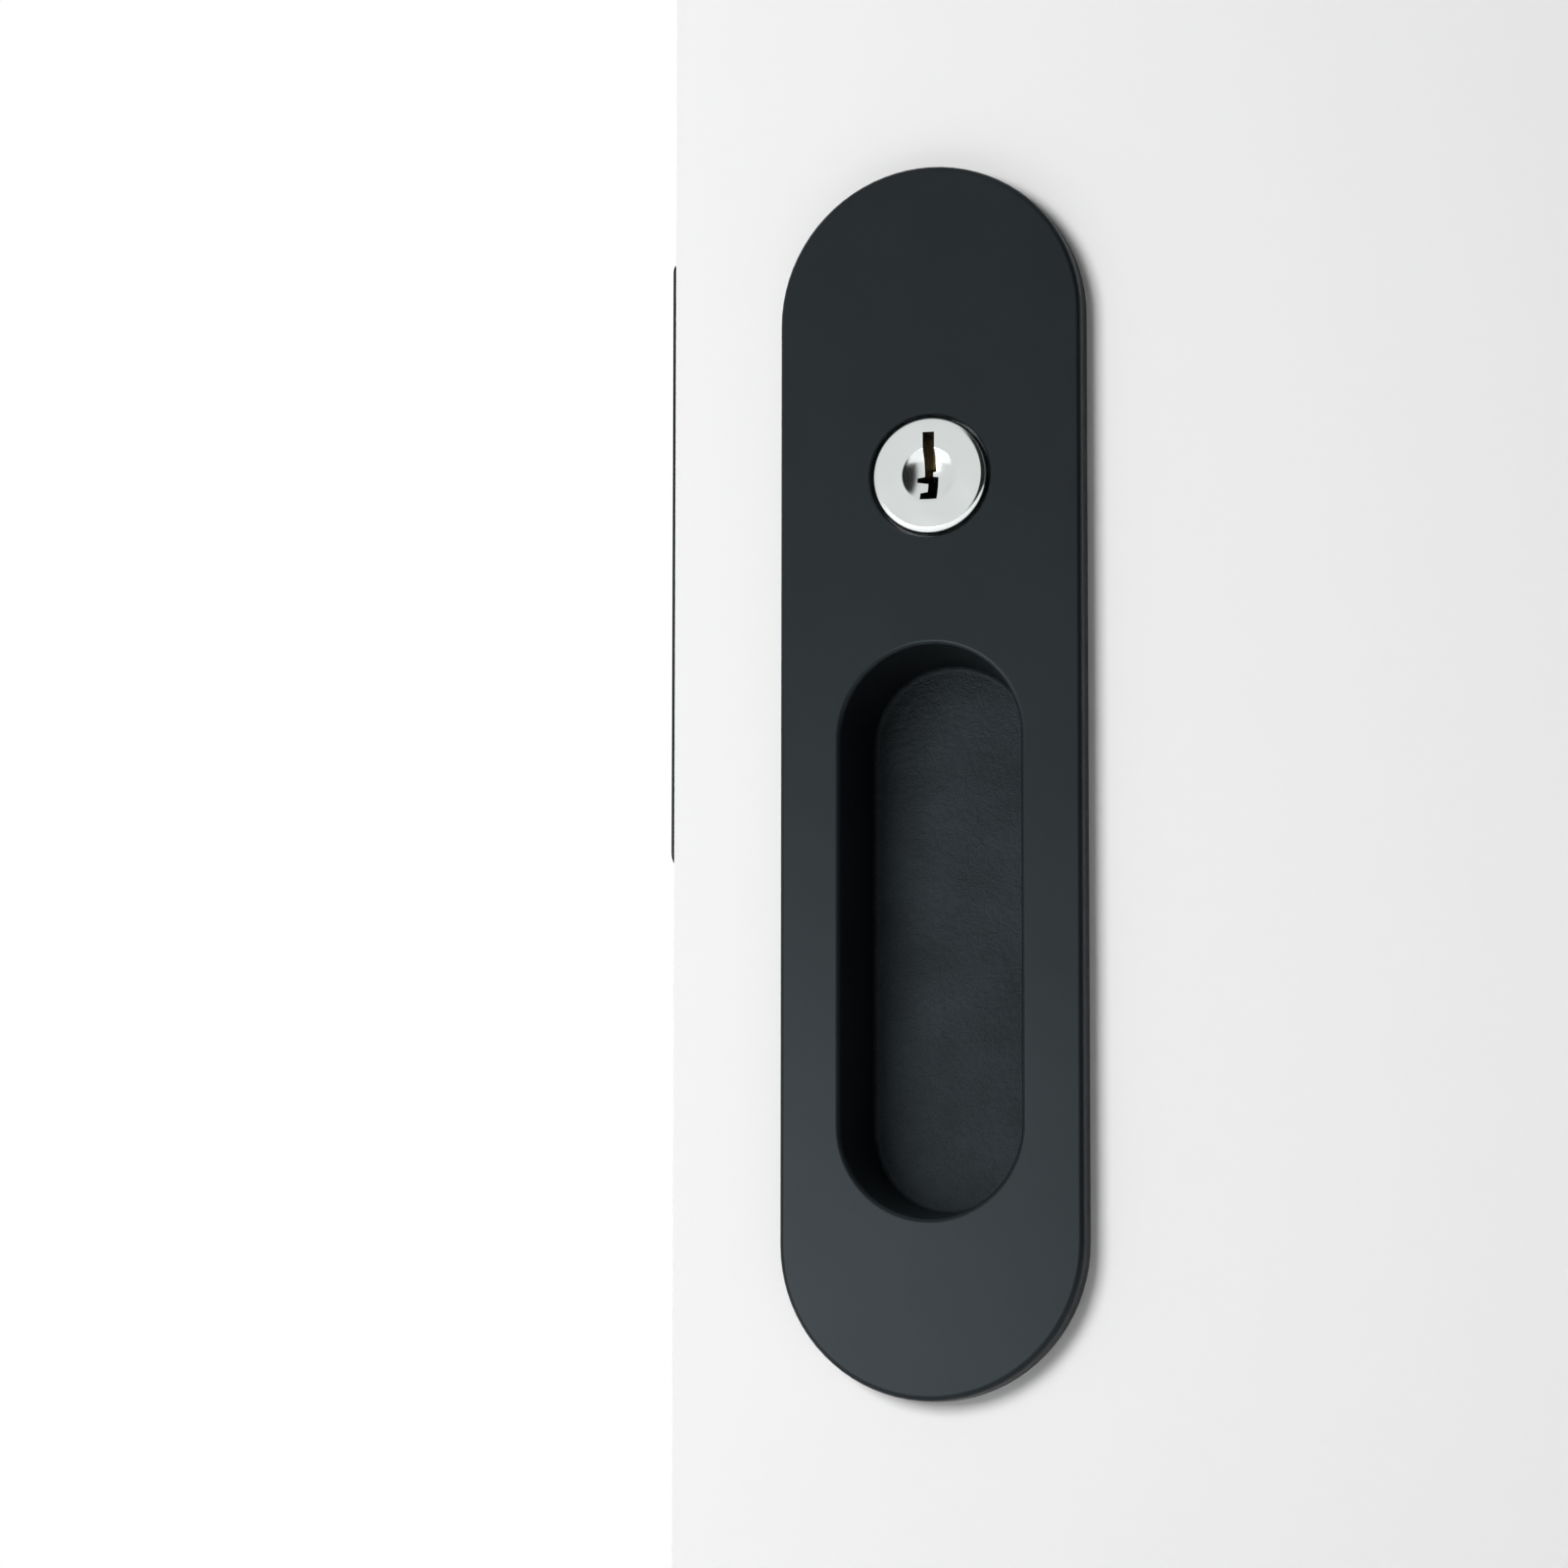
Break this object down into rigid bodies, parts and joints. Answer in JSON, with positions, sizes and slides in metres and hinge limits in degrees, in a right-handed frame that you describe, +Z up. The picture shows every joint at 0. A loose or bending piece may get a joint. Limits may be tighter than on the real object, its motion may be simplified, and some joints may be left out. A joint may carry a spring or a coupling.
{
  "type": "sliding door lock",
  "caption": "Sliding door lock: black stadium plates with finger pulls, key cylinder outside, thumb-turn inside and a swinging hook bolt in the door's edge.",
  "frame": {"origin": "middle of the forend's face, midway between its two fixing holes, on the door's mid-plane", "axes": "-X out of the door's edge, the way the hook comes out; -Y to the outside of the door, where the key goes in; +Z up along the forend"},
  "size_m": [0.0622, 0.0633, 0.177],
  "materials": {
    "black_coat": "matt black powder coat on die-cast zinc",
    "black_screws": "blackened steel",
    "satin_nickel": "satin nickel plate",
    "zinc": "bare die-cast zinc",
    "zinc_plate": "zinc plated steel sheet",
    "sintered_steel": "oiled sintered steel",
    "bright_steel": "nickel plated steel",
    "steel": "zinc plated steel",
    "spring_steel": "spring steel",
    "brass": "stamped brass"
  },
  "bodies": {
    "lock_body": {"outer_plate": "black_coat", "inner_plate": "black_coat", "through_bolt_upper": "black_screws", "through_bolt_lower": "black_screws", "cylinder_barrel": "zinc", "barrel_screw_left": "steel", "barrel_screw_right": "steel", "case_tray": "zinc_plate", "case_cover": "zinc_plate", "cover_screw_1": "steel", "cover_screw_2": "steel", "cover_screw_3": "steel", "cover_screw_4": "steel", "forend": "black_coat", "forend_screw_upper": "black_screws", "forend_screw_lower": "black_screws", "hook_pivot": "steel", "detent_spring": "spring_steel", "spring_post": "steel"},
    "key_cylinder": {"key_plug": "satin_nickel", "wafer_1": "brass", "wafer_2": "brass", "wafer_3": "brass", "wafer_4": "brass", "wafer_5": "brass", "wafer_springs": "spring_steel", "plug_clip": "spring_steel", "tail_bar": "steel"},
    "turn_knob": {"hub": "sintered_steel", "thumb_knob": "black_coat", "spindle": "steel", "grub_screw": "black_screws", "knob_clip": "spring_steel", "knob_washer": "steel"},
    "hook": {"hook_bolt": "bright_steel"}
  },
  "joints": [
    {"name": "thumb_turn", "type": "hinge", "parent": "lock_body", "child": "turn_knob", "pos_m": [0.04, 0, 0.01], "axis": [0, 1, 0], "range_deg": [0, 90], "deforming": ["detent_spring"]},
    {"name": "key_turn", "type": "hinge", "parent": "lock_body", "child": "key_cylinder", "pos_m": [0.04, 0, 0.01], "axis": [0, 1, 0], "range_deg": [0, 90]},
    {"name": "hook_swing", "type": "hinge", "parent": "lock_body", "child": "hook", "pos_m": [0.012, 0, -0.01], "axis": [0, -1, 0], "range_deg": [0, 90]}
  ],
  "couplings": [
    {"joint": "key_turn", "follows": "thumb_turn", "ratio": 1},
    {"joint": "hook_swing", "follows": "thumb_turn", "ratio": 1}
  ]
}
